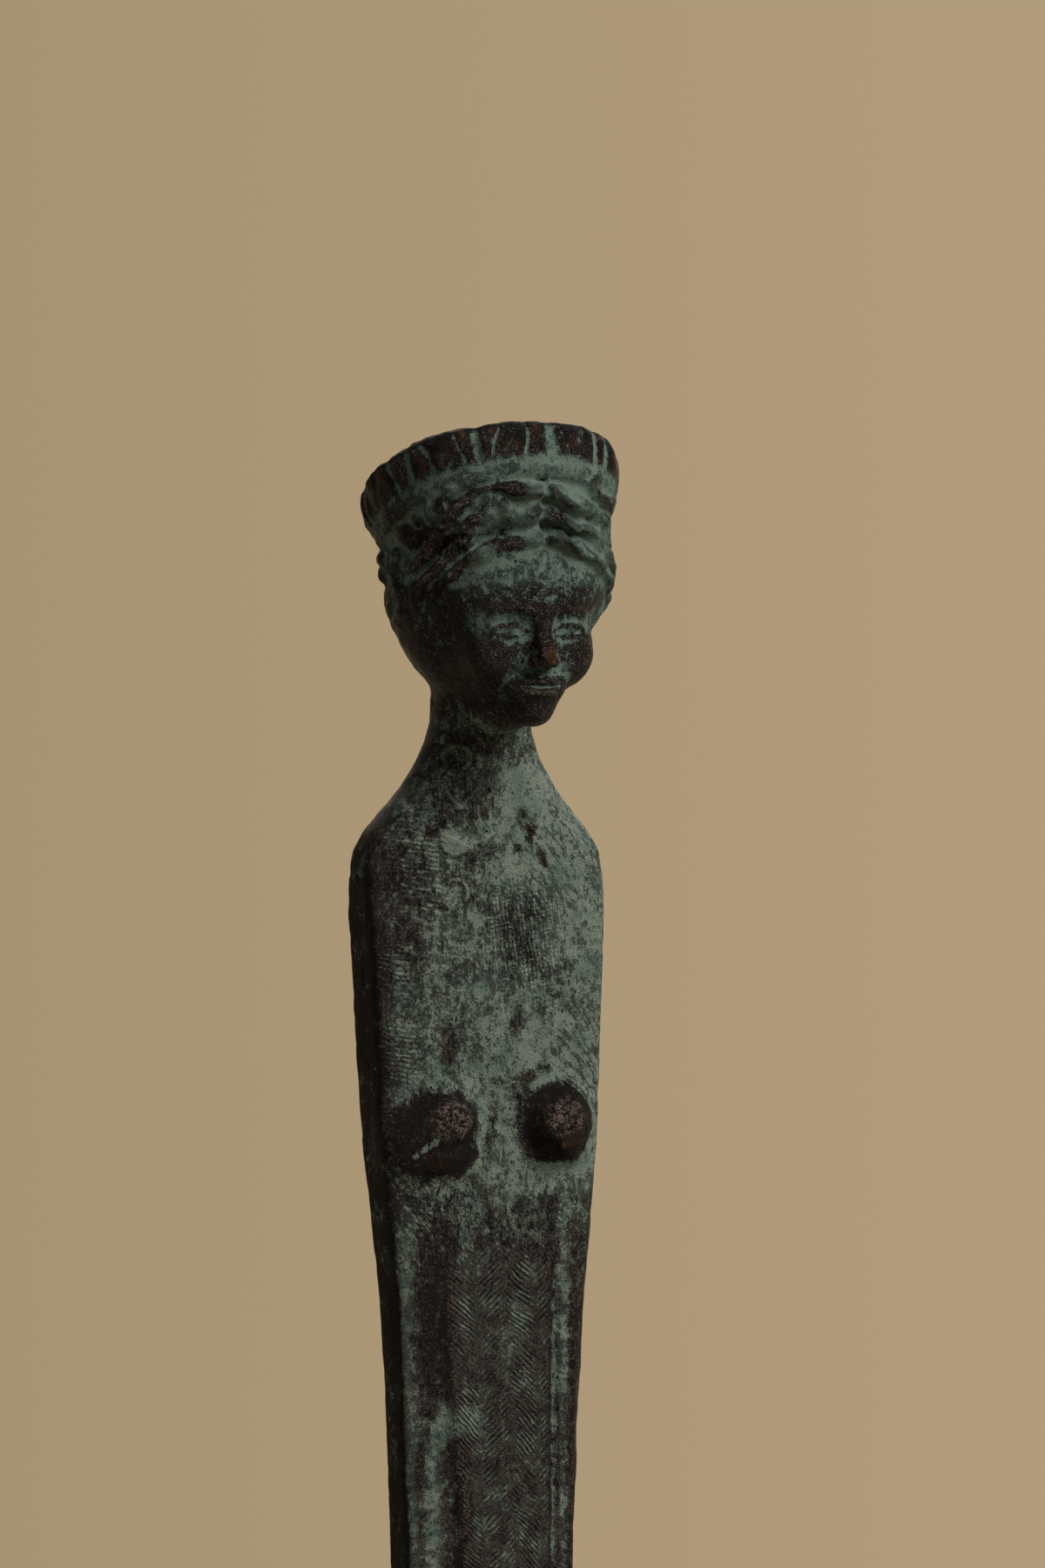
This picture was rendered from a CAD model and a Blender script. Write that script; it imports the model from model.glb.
# A cast bronze votive figurine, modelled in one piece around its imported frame.
# The casting is a signed-distance form in millimetres, +Z up, facing -Y. It is turned into one closed
# mesh on a lattice that is finest at the head, then given its casting relief and patina masks.
import math

import bmesh
import bpy
import numpy as np
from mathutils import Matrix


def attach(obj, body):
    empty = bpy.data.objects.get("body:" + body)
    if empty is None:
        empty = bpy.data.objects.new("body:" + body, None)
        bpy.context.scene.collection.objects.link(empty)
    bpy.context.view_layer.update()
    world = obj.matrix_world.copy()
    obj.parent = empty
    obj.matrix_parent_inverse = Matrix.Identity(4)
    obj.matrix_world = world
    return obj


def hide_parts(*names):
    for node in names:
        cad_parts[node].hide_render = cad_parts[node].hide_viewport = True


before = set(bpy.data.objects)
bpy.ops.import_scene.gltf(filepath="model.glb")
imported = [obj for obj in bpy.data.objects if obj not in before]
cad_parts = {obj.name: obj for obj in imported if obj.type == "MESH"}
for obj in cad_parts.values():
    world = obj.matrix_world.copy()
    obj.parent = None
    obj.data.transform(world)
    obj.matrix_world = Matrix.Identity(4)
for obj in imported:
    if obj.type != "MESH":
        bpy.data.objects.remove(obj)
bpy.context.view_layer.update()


# ------------------------------------------------------------------ small maths
def smooth(a, b, t):
    s = np.clip((t - a) / (b - a), 0.0, 1.0)
    return s * s * (3.0 - 2.0 * s)


def mix(a, b, t):
    return a + (b - a) * t


def bump(t, w):
    return np.exp(-((t / w) ** 2))


def join(a, b, k):
    h = np.maximum(k - np.abs(a - b), 0.0) / k
    return np.minimum(a, b) - h * h * k * 0.25


def carve(a, b, k):
    return -join(-a, b, k)


def egg(x, y, z, c, r):
    px, py, pz = (x - c[0]) / r[0], (y - c[1]) / r[1], (z - c[2]) / r[2]
    k0 = np.sqrt(px * px + py * py + pz * pz)
    k1 = np.sqrt((px / r[0]) ** 2 + (py / r[1]) ** 2 + (pz / r[2]) ** 2)
    return k0 * (k0 - 1.0) / np.maximum(k1, 1e-6)


def rod(x, y, z, p, q, rp, rq):
    d = [q[i] - p[i] for i in range(3)]
    l2 = sum(c * c for c in d)
    t = np.clip(((x - p[0]) * d[0] + (y - p[1]) * d[1] + (z - p[2]) * d[2]) / l2, 0, 1)
    return np.sqrt((x - p[0] - d[0] * t) ** 2 + (y - p[1] - d[1] * t) ** 2 + (z - p[2] - d[2] * t) ** 2) - (
        rp + (rq - rp) * t
    )


def hashed(i, j, k, seed):
    n = (
        i.astype(np.uint32) * np.uint32(374761393)
        + j.astype(np.uint32) * np.uint32(668265263)
        + k.astype(np.uint32) * np.uint32(2246822519)
        + np.uint32((seed * 3266489917) & 0xFFFFFFFF)
    )
    n = (n ^ (n >> np.uint32(13))) * np.uint32(1274126177)
    n = (n ^ (n >> np.uint32(16))) * np.uint32(2654435761)
    return (n ^ (n >> np.uint32(15))).astype(np.float64) / 4294967295.0


def noise(x, y, z, size, seed):
    """Smooth value noise from -1 to 1, with features about `size` mm across."""
    x, y, z = x / size + 517.3, y / size + 331.7, z / size + 219.1
    i, j, k = np.floor(x), np.floor(y), np.floor(z)
    u, v, w = x - i, y - j, z - k
    u, v, w = [t * t * t * (t * (t * 6 - 15) + 10) for t in (u, v, w)]
    i, j, k = i.astype(np.int64), j.astype(np.int64), k.astype(np.int64)
    total = 0.0
    for a in (0, 1):
        for b in (0, 1):
            for c in (0, 1):
                total = total + hashed(i + a, j + b, k + c, seed) * (
                    (u if a else 1 - u) * (v if b else 1 - v) * (w if c else 1 - w)
                )
    return total * 2.0 - 1.0


def fbm(x, y, z, size, seed, octaves=3, gain=0.5):
    total, amp, norm = 0.0, 1.0, 0.0
    for o in range(octaves):
        total = total + amp * noise(x, y, z, size / 2**o, seed + 17 * o)
        norm += amp
        amp *= gain
    return total / norm


def cells(x, y, z, size, seed):
    """Distance (in cells) to the nearest scattered point, and that point's own random number."""
    x, y, z = x / size + 211.0, y / size + 173.0, z / size + 97.0
    i, j, k = [np.floor(t).astype(np.int64) for t in (x, y, z)]
    best, tag = np.full(x.shape, 9.0), np.zeros(x.shape)
    for a in (-1, 0, 1):
        for b in (-1, 0, 1):
            for c in (-1, 0, 1):
                p, q, r = i + a, j + b, k + c
                d = np.sqrt(
                    (p + hashed(p, q, r, seed) - x) ** 2
                    + (q + hashed(p, q, r, seed + 1) - y) ** 2
                    + (r + hashed(p, q, r, seed + 2) - z) ** 2
                )
                near = d < best
                best = np.where(near, d, best)
                tag = np.where(near, hashed(p, q, r, seed + 3), tag)
    return best, tag


def along(rows, column):
    """A smooth curve through a column of the station list, without overshoot."""
    zs = np.array([r[0] for r in rows], float)
    vs = np.array([r[column] for r in rows], float)
    h, d = np.diff(zs), np.diff(vs) / np.diff(zs)
    m = np.zeros(len(zs))
    m[0], m[-1] = d[0], d[-1]
    for i in range(1, len(zs) - 1):
        if d[i - 1] * d[i] > 0:
            w0, w1 = 2 * h[i] + h[i - 1], h[i] + 2 * h[i - 1]
            m[i] = (w0 + w1) / (w0 / d[i - 1] + w1 / d[i])
    fine = np.linspace(zs[0], zs[-1], 6000)
    at = np.clip(np.searchsorted(zs, fine, side="right") - 1, 0, len(zs) - 2)
    t = (fine - zs[at]) / h[at]
    val = (
        (2 * t**3 - 3 * t**2 + 1) * vs[at]
        + (t**3 - 2 * t**2 + t) * h[at] * m[at]
        + (-2 * t**3 + 3 * t**2) * vs[at + 1]
        + (t**3 - t**2) * h[at] * m[at + 1]
    )
    return lambda z: np.interp(z, fine, val)


# ------------------------------------------------------------------ the casting's dimensions, in mm
BASE = (36.0, 30.0, 5.0)  # width, depth, height
BASE_CORNER = 3.2
# z, half width, half depth, squareness of the section, middle y
BODY = [
    (7.0, 5.75, 3.75, 2.6, -0.5),
    (12.0, 5.6, 3.55, 2.7, -0.4),
    (20.0, 5.15, 3.0, 2.9, -0.15),
    (45.0, 4.85, 2.5, 3.1, 0),
    (85.0, 4.95, 2.32, 3.6, 0),
    (125.5, 5.92, 2.3, 4.6, 0),
    (141.0, 6.62, 2.36, 5.0, 0),
    (147.5, 7.18, 2.48, 5.2, 0),
    (153.7, 7.76, 2.68, 5.5, 0),
    (159.0, 8.0, 2.72, 5.6, 0),
    (164.0, 8.24, 2.76, 5.6, 0),
    (169.5, 8.48, 2.76, 5.0, 0),
    (171.8, 8.34, 2.72, 3.9, 0),
    (173.0, 7.86, 2.68, 3.0, -0.02),
    (174.4, 6.74, 2.7, 2.6, -0.06),
    (176.3, 5.18, 2.78, 2.2, -0.18),
    (178.6, 3.88, 2.98, 2.05, -0.4),
    (180.6, 3.34, 3.15, 2.0, -0.6),
    (184.5, 3.4, 3.3, 2.0, -0.9),
]
half_width, half_depth, square, middle_y = [along(BODY, i) for i in (1, 2, 3, 4)]
BREAST = (3.85, -2.35, 154.3)
SKULL = ((0, -2.9, 188.7), (6.85, 6.95, 7.6))
FACE = ((0, -4.6, 186.1), (4.75, 5.15, 6.3))
LOCKS = 3.0
TILT = math.radians(24)
CROWN = (0, -2.85, 192.9)
CROWN_H = 3.7
# the crown's outer radius by height: a plain fillet, then the flared fluted band
CROWN_PROFILE = np.array(
    [(-0.4, 7.1), (0.0, 7.55), (0.5, 7.85), (1.05, 7.92), (1.4, 8.18), (2.1, 8.4), (3.0, 8.48), (3.5, 8.36), (3.9, 8.05)]
)


# the casting is not quite straight: its middle across, by height
_bend = np.array([(20, 0.0), (60, 0.05), (125, 0.2), (145, 0.22), (152, 0.08), (158, 0), (165, -0.12), (172, -0.22), (180, -0.2), (186, 0)])


def middle_x(z):
    return np.interp(z, _bend[:, 0], _bend[:, 1])


def fold_right(z):
    return mix(3.5, 4.15, smooth(10, 120, z))


def fold_left(z):
    return -mix(mix(2.3, 2.75, smooth(10, 120, z)), 4.15, smooth(122, 146, z))


# ------------------------------------------------------------------ body
def body_core(x, y, z):
    a, b, n, v = half_width(z), half_depth(z), square(z), y - middle_y(z)
    u, w = np.abs(x) / a, np.abs(v) / b
    q = np.maximum((u**n + w**n) ** (1 / n), 1e-6)
    g = np.sqrt(((u / q) ** (n - 1) / a) ** 2 + ((w / q) ** (n - 1) / b) ** 2)
    return (q - 1) / np.maximum(g, 1e-6)


def body_form(x, y, z):
    x = x - middle_x(z)
    v = y - middle_y(z)
    d = body_core(x, y, z)
    # the breasts: worn blunt cones. The figure's right one is drawn out to the side in two lobes.
    bx, by, bz = BREAST
    near = np.abs(z - bz) < 9
    if near.any():
        X, Y, Z = x, y, z
        lump = 0.15 * noise(X, Y, Z, 1.3, 31) + 0.1 * noise(X, Y, Z, 0.6, 33)
        left = egg(X, Y, Z, (bx + 0.5, by + 0.1, bz), (2.05, 2.4, 2.3))
        left = carve(left, Y + 4.6 + 0.12 * (X - 4.2), 1.0) + lump
        right = egg(X, Y, Z, (-bx + 0.15, by + 0.1, bz + 0.35), (1.8, 2.4, 1.75))
        right = carve(right, Y + 4.6, 1.0)
        right = join(right, egg(X, Y, Z, (-5.9, -2.1, 154.3), (1.9, 1.15, 1.2)), 1.0)
        right = join(right, egg(X, Y, Z, (-4.95, -2.1, 152.3), (2.45, 1.55, 1.15)), 1.5) + lump
        right = right + 0.28 * bump(Z - 153.8 - 0.77 * (X + 4.2), 0.42) * smooth(-4.2, -5.2, X)
        d = np.where(near, join(join(d, left, 1.5), right, 1.5), d)
    front, back = smooth(0, -1.2, v), smooth(0, 1.2, v)
    fade = smooth(149.0, 139.0, z)
    fl, fr = fold_left(z), fold_right(z)
    # a sharp drapery edge on each side of the middle panel, with a hollow strip outside it
    cut = 0.2 * bump(x - fl, 0.5) + 0.36 * bump(x - (fl - 1.35), 1.0) - 0.16 * bump(x - fl - 0.9, 0.6)
    cut = cut + 0.34 * bump(x - fr, 0.3) + 0.16 * bump(x - (fr + 0.75), 0.5)
    cut = cut - 0.1 * bump(x - (fr + 1.5), 0.4) + 0.07 * noise(x, y, z / 3, 0.9, 35)
    panel = 0.16 * bump(x - 0.7, 2.4) + 0.07 * np.cos((x - 0.6) * 2.0) * bump(x - 0.6, 3.0)
    d = d + front * fade * (cut - panel)
    low = smooth(112, 60, z)  # below, the folds gather into a few soft pleats
    d = d + front * low * 0.16 * (bump(x - 1.2, 0.55) + bump(x + 0.6, 0.5) - bump(x - 0.3, 0.6))
    d = d + back * smooth(152, 120, z) * 0.26 * (bump(x - 2.7, 0.7) + bump(x + 2.7, 0.7))
    d = d + back * low * 0.14 * np.cos(x * 2.4)
    d = d + 0.2 * smooth(22, 9, z) * np.sin(x * 2.6 + 0.5) * front
    # the hollow of the spine between the shoulders
    d = d + back * 0.22 * bump(x, 1.5) * smooth(148, 160, z) * smooth(176, 168, z)
    return d


# ------------------------------------------------------------------ head
TS, TC = math.sin(TILT), math.cos(TILT)
# azimuth and half width, in degrees, of each recess of the crown: broad uneven ridges stand between
_rng = np.random.default_rng(7)
FLUTES = [(-63.7, 2.0), (-52.7, 2.0), (-42.7, 1.7), (-37.0, 1.0), (-29.2, 2.4), (-21.5, 0.8), (-14.4, 3.6), (-7.3, 1.0)]
FLUTES += [(4.7, 3.4), (13.0, 0.9), (21.0, 2.3), (31.5, 1.7)]
_a = 41.0
while _a < 290:
    FLUTES.append((_a, 1.1 + 1.9 * _rng.random()))
    _a += 8.5 + 6.5 * _rng.random()
FLUTES = np.radians(np.array(FLUTES))


def hairline(phi):
    return 191.2 - 2.9 * smooth(0.1, 1.25, phi) - 4.9 * smooth(0.9, 1.75, phi)


def crown_edge(phi):
    return CROWN[2] + 3.0 * np.cos(phi)


def hair_field(x, y, z):
    """Where a point lies in the hair: angle from the front, height 0..1, and lock count."""
    phi = np.arctan2(np.abs(x), -(y - SKULL[0][1]))
    side = np.where(x < 0, 1.0, 0.0) * smooth(3.1, 2.3, phi)
    away = smooth(0.0, 0.22, phi)
    wob = 0.62 * noise(x, y, z, 3.0, 41) + 0.3 * noise(x, y, z, 1.5, 43)
    line, top = hairline(phi), crown_edge(phi)
    t = (z - line) / (top - line)
    tt = np.clip(t, 0, 1)
    wave = (0.4 + 1.1 * np.clip(tt * (1 - tt) * 4, 0, 1)) * 0.34 * smooth(0.1, 0.42, phi)
    s = LOCKS * np.minimum(t, 1.03) + wave * np.sin(5.6 * phi + 0.2 + 1.3 * side)
    s = s + 0.85 * wob * away - 0.4 * smooth(0.0, 0.5, phi) * side + 0.75 * np.minimum(phi, 1.9)
    return phi, t, s


def hair_relief(x, y, z):
    phi, t, s = hair_field(x, y, z)
    f = s - np.floor(s)
    wide = 1 - (0.5 + 0.5 * np.cos(2 * np.pi * f)) ** 1.7
    big = 0.84 + 0.5 * noise(x, y, z, 2.3, 45) + 0.22 * noise(x, y, z, 1.0, 233)
    strand = 0.05 * np.cos(2 * np.pi * 3 * f + 2.5 * np.sin(phi * 7)) * wide
    soft = mix(1, 0.62, smooth(0.9, 1.6, phi))
    mask = smooth(-0.06, mix(0.12, 0.7, smooth(0.9, 1.9, phi)), t)
    parting = bump(x - 0.15 - 0.12 * np.sin(z * 2.2), 0.26) * smooth(-0.02, 0.1, t) * smooth(0.6, 0.2, phi)
    lumps = 0.24 * noise(x, y, z, 1.3, 47) + 0.14 * noise(x, y, z, 0.6, 49)
    return mask * (0.2 + soft * (0.62 * big * wide + strand) - 0.4 * parting + lumps)


def face_form(x, y, z, skull):
    ax = np.abs(x)
    jaw = 1 - 0.2 * smooth(185.5, 181.0, z)
    f = join(egg(x / jaw, y, z, *FACE) * jaw, skull, 1.0)
    f = join(f, egg(x, y, z, (0, -8.05, 181.25), (1.45, 1.4, 1.3)), 1.3)  # chin
    f = join(f, egg(ax, y, z, (2.7, -7.75, 184.6), (1.45, 1.35, 1.6)), 1.7)  # cheeks
    # brows, arched over the eyes
    brow_z = 187.3 + 0.25 * bump(ax - 2.1, 1.2)
    f = f - 0.22 * bump(z - brow_z, 0.42) * smooth(4.0, 3.0, ax) * smooth(-6.5, -8.0, y)
    # eye sockets, eyeballs and lids
    f = carve(f, egg(ax, y, z, (2.0, -10.35, 186.15), (1.65, 1.2, 0.95)), 0.8)
    f = join(f, egg(ax, y, z, (2.08, -8.5, 186.05), (1.2, 0.95, 0.85)), 0.12)
    dx = (ax - 2.08) / 1.2
    arch = np.clip(1 - dx * dx, 0, 1)
    seen = smooth(1.15, 0.9, np.abs(dx)) * smooth(-8.0, -8.6, y)
    up, lo = z - (186.05 + 0.42 * arch), z - (186.0 - 0.34 * arch)
    f = f - seen * (0.15 * bump(up, 0.15) + 0.11 * bump(lo, 0.14))
    f = f + seen * 0.1 * smooth(0.05, -0.2, up) * smooth(-0.05, 0.2, lo)
    # nose
    f = join(f, rod(x, y, z, (0, -9.4, 187.1), (0, -10.62, 184.35), 0.42, 0.6), 0.65)
    f = join(f, egg(ax, y, z, (0.58, -9.95, 184.1), (0.42, 0.62, 0.4)), 0.3)
    f = carve(f, egg(ax, y, z, (0.36, -10.35, 183.72), (0.2, 0.34, 0.2)), 0.12)
    # mouth
    f = join(f, egg(x, y, z, (0, -8.7, 182.5), (1.9, 1.0, 1.1)), 0.8)
    bow = 182.84 + 0.08 * bump(ax - 0.42, 0.3) - 0.12 * ax * ax / 1.4
    f = f - 0.2 * bump(z - bow, 0.24) * smooth(1.45, 0.9, ax) * smooth(-8.5, -9.2, y)
    f = f - 0.22 * bump(z - 182.12 - 0.05 * ax * ax, 0.26) * smooth(1.25, 0.6, ax) * smooth(-8.4, -9.1, y)
    f = f + 0.2 * bump(z - 182.5 - 0.04 * ax * ax, 0.13) * smooth(1.6, 1.2, ax) * smooth(-8.2, -8.9, y)
    f = f + 0.07 * bump(x, 0.22) * bump(z - 183.3, 0.35) * smooth(-8.8, -9.2, y)
    return f


def crown_frame(x, y, z):
    dy, dz = y - CROWN[1], z - CROWN[2]
    h, v = dy * TS + dz * TC, dy * TC - dz * TS
    return np.sqrt(x * x + v * v), h, np.arctan2(x, -v)


def flute_mask(turn, h):
    wide = np.zeros_like(turn)
    for n, (a, w) in enumerate(FLUTES):
        lean = 0.035 * math.sin(n * 2.3) * (h - 2) + 0.012 * np.sin(1.7 * h + n)
        off = np.abs((turn + lean - a + math.pi) % (2 * math.pi) - math.pi)
        deep = 0.65 + 0.35 * math.sin(n * 1.7 + 1)
        wide = np.maximum(wide, deep * np.exp(-((off / (w * (1.35 - 0.1 * h))) ** 2) * 0.8))
    return wide


def crown_form(x, y, z):
    r, h, turn = crown_frame(x, y, z)
    edge = CROWN_H + 0.1 * noise(x, y, 0 * z, 2.6, 61) + 0.05 * noise(x, y, 0 * z, 0.9, 63)
    edge = edge + 0.3 * bump(turn + 1.1, 0.6)
    flute = flute_mask(turn, h) * smooth(1.0, 1.5, h) * mix(1, 0.45, smooth(2.9, 3.7, h))
    rim = np.interp(h, CROWN_PROFILE[:, 0], CROWN_PROFILE[:, 1]) - 0.27 * flute
    rim = rim + 0.1 * noise(x, y, z, 1.9, 65) + 0.05 * noise(x, y, z, 0.8, 67) * smooth(1.2, 1.6, h)
    outer = (r - rim) * 0.93
    d = carve(outer, -(h - edge), 0.5)
    d = carve(d, h + 0.12, 0.25)
    inner = r - (6.95 + 0.1 * h)
    return carve(d, inner, 0.3), r, h


def head_form(x, y, z):
    crown, r, h = crown_form(x, y, z)
    cheek = 1 - 0.24 * smooth(-2.0, -7.0, y) * smooth(189.5, 184.0, z)
    skull = egg(x / cheek, y, z, *SKULL) * cheek
    drum = (
        np.sqrt(np.maximum(r - 6.85 + 2.2, 0) ** 2 + np.maximum(-h - 0.4, 0) ** 2) - 2.2
    )
    top = h - (1.25 + 0.85 * (1 - np.minimum(1, (r / 7) ** 2))) - 0.06 * noise(x, y, z, 1.8, 51)
    hair = join(skull, drum, 1.2)
    hair = join(hair, egg(x, y, z, (0, 3.3, 185.6), (3.0, 1.5, 2.1)), 1.5)
    hair = hair - hair_relief(x, y, z)
    d = join(face_form(x, y, z, skull), hair, 0.22)
    d = carve(d, -top, 0.4)
    return join(d, crown, 0.22)


# ------------------------------------------------------------------ feet and base
def foot_form(x, y, z):
    ax = np.abs(x)
    d = egg(ax, y, z, (2.55, -4.6, 5.0), (1.85, 4.9, 2.9))
    d = join(d, rod(ax, y, z, (2.55, -1.6, 5.0), (2.4, -0.8, 10.0), 1.9, 1.8), 1.0)
    toe = ax - 2.55 + 0.12 * (y + 4.6)
    ridge = sum(bump(toe - o, 0.17) for o in (-0.36, 0.22, 0.72, 1.16))
    d = d + 0.3 * ridge * smooth(-6.9, -8.2, y)
    d = d - 0.12 * bump(toe + 0.85, 0.45) * bump(y + 8.2, 0.9)
    core = egg(x, y, z, (0, 0.4, 7.0), (5.0, 3.1, 7.0))
    return join(d, core, 0.6)


def base_form(x, y, z):
    w, dd, hh = BASE
    qx = np.abs(x) - (w / 2 - BASE_CORNER)
    qy = np.abs(y) - (dd / 2 - BASE_CORNER)
    flat = np.sqrt(np.maximum(qx, 0) ** 2 + np.maximum(qy, 0) ** 2) + np.minimum(np.maximum(qx, qy), 0) - BASE_CORNER
    side = flat + 0.05 * noise(x, y, z, 5.0, 71) + 0.05
    top = z - hh
    d = np.where(
        (side > -0.9) & (top > -0.9),
        np.sqrt(np.maximum(side + 0.9, 0) ** 2 + np.maximum(top + 0.9, 0) ** 2) - 0.9,
        np.maximum(side, top),
    )
    return np.maximum(d, -z)


def form(x, y, z):
    """The whole casting. Each part is worked out only where it can matter."""
    d = np.full(x.shape, 5.0)
    m = z < 20
    if m.any():
        X, Y, Z = x[m], y[m], z[m]
        d[m] = join(base_form(X, Y, Z), foot_form(X, Y, Z), 0.35)
    m = (z > 6.6) & (z < 184.5)
    if m.any():
        X, Y, Z = x[m], y[m], z[m]
        b = np.maximum(body_form(X, Y, Z), 7.2 + 0.3 * np.sin(X * 1.9) - Z)
        d[m] = join(d[m], b, 0.5)
    m = z > 176
    if m.any():
        X, Y, Z = x[m], y[m], z[m]
        d[m] = join(d[m], head_form(X, Y, Z), 0.9)
    return d


# ------------------------------------------------------------------ one closed mesh
GRAIN = 1.0


def levels():
    """Heights of the lattice's layers, and each layer's spacing and middle across."""
    zk = [0, 4, 5, 8, 14, 30, 116, 126, 150, 177, 180, 202]
    dz = [0.4, 0.4, 0.22, 0.24, 0.5, 0.9, 0.9, 0.26, 0.21, 0.2, 0.172, 0.172]
    zs = [-0.8]
    while zs[-1] < 201.2:
        zs.append(zs[-1] + GRAIN * np.interp(zs[-1], zk, dz))
    return np.array(zs)


def make_mesh():
    zs = levels()
    nx, ny, nz = int(110 / GRAIN), int(106 / GRAIN), len(zs)
    dx = GRAIN * np.interp(zs, [0, 5.2, 7.5, 20, 116, 128, 176, 181], [0.345, 0.345, 0.23, 0.26, 0.28, 0.19, 0.19, 0.169])
    dy = GRAIN * np.interp(zs, [0, 5.2, 7.5, 24, 116, 128, 176, 181], [0.3, 0.3, 0.215, 0.26, 0.26, 0.215, 0.215, 0.18])
    oy = np.interp(zs, [172, 181], [0.0, -2.75])
    X = (np.arange(nx) - (nx - 1) / 2)[:, None, None] * dx[None, None, :]
    Y = (np.arange(ny) - (ny - 1) / 2)[None, :, None] * dy[None, None, :] + oy
    X = np.broadcast_to(X, (nx, ny, nz))
    Y = np.broadcast_to(Y, (nx, ny, nz))
    Z = np.broadcast_to(zs[None, None, :], (nx, ny, nz))
    # a coarse pass finds the blocks that the surface can cross
    B = 4
    bx, by, bz = [math.ceil(n / B) for n in (nx, ny, nz)]

    def at(n, b):
        return np.minimum(np.arange(b + 1) * B, n - 1)

    ci, cj, ck = np.meshgrid(at(nx, bx), at(ny, by), at(nz, bz), indexing="ij")
    C = form(X[ci, cj, ck].ravel(), Y[ci, cj, ck].ravel(), Z[ci, cj, ck].ravel()).reshape(ci.shape)
    reach = 0.62 * B * np.sqrt(dx[ck] ** 2 + dy[ck] ** 2 + np.gradient(zs)[ck] ** 2) + 0.9
    live = np.abs(C) < reach
    signs = C < 0
    block, blocksign = np.zeros((bx, by, bz), bool), np.zeros((bx, by, bz), bool)
    for a in (0, 1):
        for b in (0, 1):
            for c in (0, 1):
                sl = (slice(a, a + bx), slice(b, b + by), slice(c, c + bz))
                block |= live[sl]
                blocksign |= signs[sl]
    full = np.repeat(np.repeat(np.repeat(block, B, 0), B, 1), B, 2)[:nx, :ny, :nz]
    inside = np.repeat(np.repeat(np.repeat(blocksign, B, 0), B, 1), B, 2)[:nx, :ny, :nz]
    F = np.where(inside, -3.0, 3.0)
    F[full] = form(X[full], Y[full], Z[full])
    F[0], F[-1], F[:, 0], F[:, -1], F[:, :, 0], F[:, :, -1] = 3, 3, 3, 3, 3, 3
    # where in and out meet crosswise the surface would pinch, so the nearer gap is filled
    for _ in range(12):
        pinched = 0
        for p, q in ((0, 1), (1, 2), (0, 2)):
            cut = lambda a, b: tuple(slice(*(((0, -1), (1, None))[a if n == p else b])) if n in (p, q) else slice(None) for n in range(3))
            neg = F < 0
            n00, n10, n01, n11 = neg[cut(0, 0)], neg[cut(1, 0)], neg[cut(0, 1)], neg[cut(1, 1)]
            i = np.nonzero((n00 == n11) & (n10 == n01) & (n00 != n10))
            if len(i[0]) == 0:
                continue
            pinched += len(i[0])
            step = [np.zeros(3, int) for _ in range(2)]
            step[0][p], step[1][q] = 1, 1
            corners = [tuple(c + a * sa + b * sb for c, sa, sb in zip(i, step[0], step[1])) for a, b in ((0, 0), (1, 1), (1, 0), (0, 1))]
            vals = np.stack([np.where(F[c] < 0, 99.0, F[c]) for c in corners])
            pick = vals.argmin(0)
            for n, c in enumerate(corners):
                m = pick == n
                F[c[0][m], c[1][m], c[2][m]] = -0.01
        # the same for two corners that meet only through the middle of a cell
        neg = F < 0
        ends = (slice(0, -1), slice(1, None))
        count = sum(neg[ends[a], ends[b], ends[c]].astype(np.int8) for a in (0, 1) for b in (0, 1) for c in (0, 1))
        for b, c in ((0, 0), (0, 1), (1, 0), (1, 1)):
            near, far = neg[ends[0], ends[b], ends[c]], neg[ends[1], ends[1 - b], ends[1 - c]]
            for lone, level in (((count == 6) & ~near & ~far, -0.01), ((count == 2) & near & far, 0.01)):
                i, j, k = np.nonzero(lone)
                F[i, j + b, k + c] = level
                pinched += len(i)
        if not pinched:
            break
    # surface nets: one vertex in each crossed cell, one quad round each crossed edge
    neg = F < 0
    total = np.zeros((nx * ny * nz, 4))
    crossings = []
    for axis in range(3):
        lo = [slice(None)] * 3
        hi = [slice(None)] * 3
        lo[axis], hi[axis] = slice(0, -1), slice(1, None)
        lo, hi = tuple(lo), tuple(hi)
        i, j, k = np.nonzero(neg[lo] != neg[hi])
        step = np.eye(3, dtype=int)[axis]
        i2, j2, k2 = i + step[0], j + step[1], k + step[2]
        f0, f1 = F[i, j, k], F[i2, j2, k2]
        t = f0 / (f0 - f1)
        P = np.stack(
            [
                X[i, j, k] * (1 - t) + X[i2, j2, k2] * t,
                Y[i, j, k] * (1 - t) + Y[i2, j2, k2] * t,
                Z[i, j, k] * (1 - t) + Z[i2, j2, k2] * t,
            ],
            1,
        )
        b, c = [np.eye(3, dtype=int)[(axis + s) % 3] for s in (1, 2)]
        ring = []
        for mb, mc in ((1, 1), (0, 1), (0, 0), (1, 0)):
            ii, jj, kk = i - mb * b[0] - mc * c[0], j - mb * b[1] - mc * c[1], k - mb * b[2] - mc * c[2]
            cell = (ii * ny + jj) * nz + kk
            ring.append(cell)
            for col in range(3):
                total[:, col] += np.bincount(cell, P[:, col], len(total))
            total[:, 3] += np.bincount(cell, minlength=len(total))
        ring = np.stack(ring, 1)
        ring[~(f0 < 0)] = ring[~(f0 < 0)][:, ::-1]
        crossings.append(ring)
    quads = np.concatenate(crossings)
    used = np.nonzero(total[:, 3] > 0)[0]
    number = np.full(len(total), -1)
    number[used] = np.arange(len(used))
    V = total[used, :3] / total[used, 3:4]
    return V, number[quads]


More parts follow.
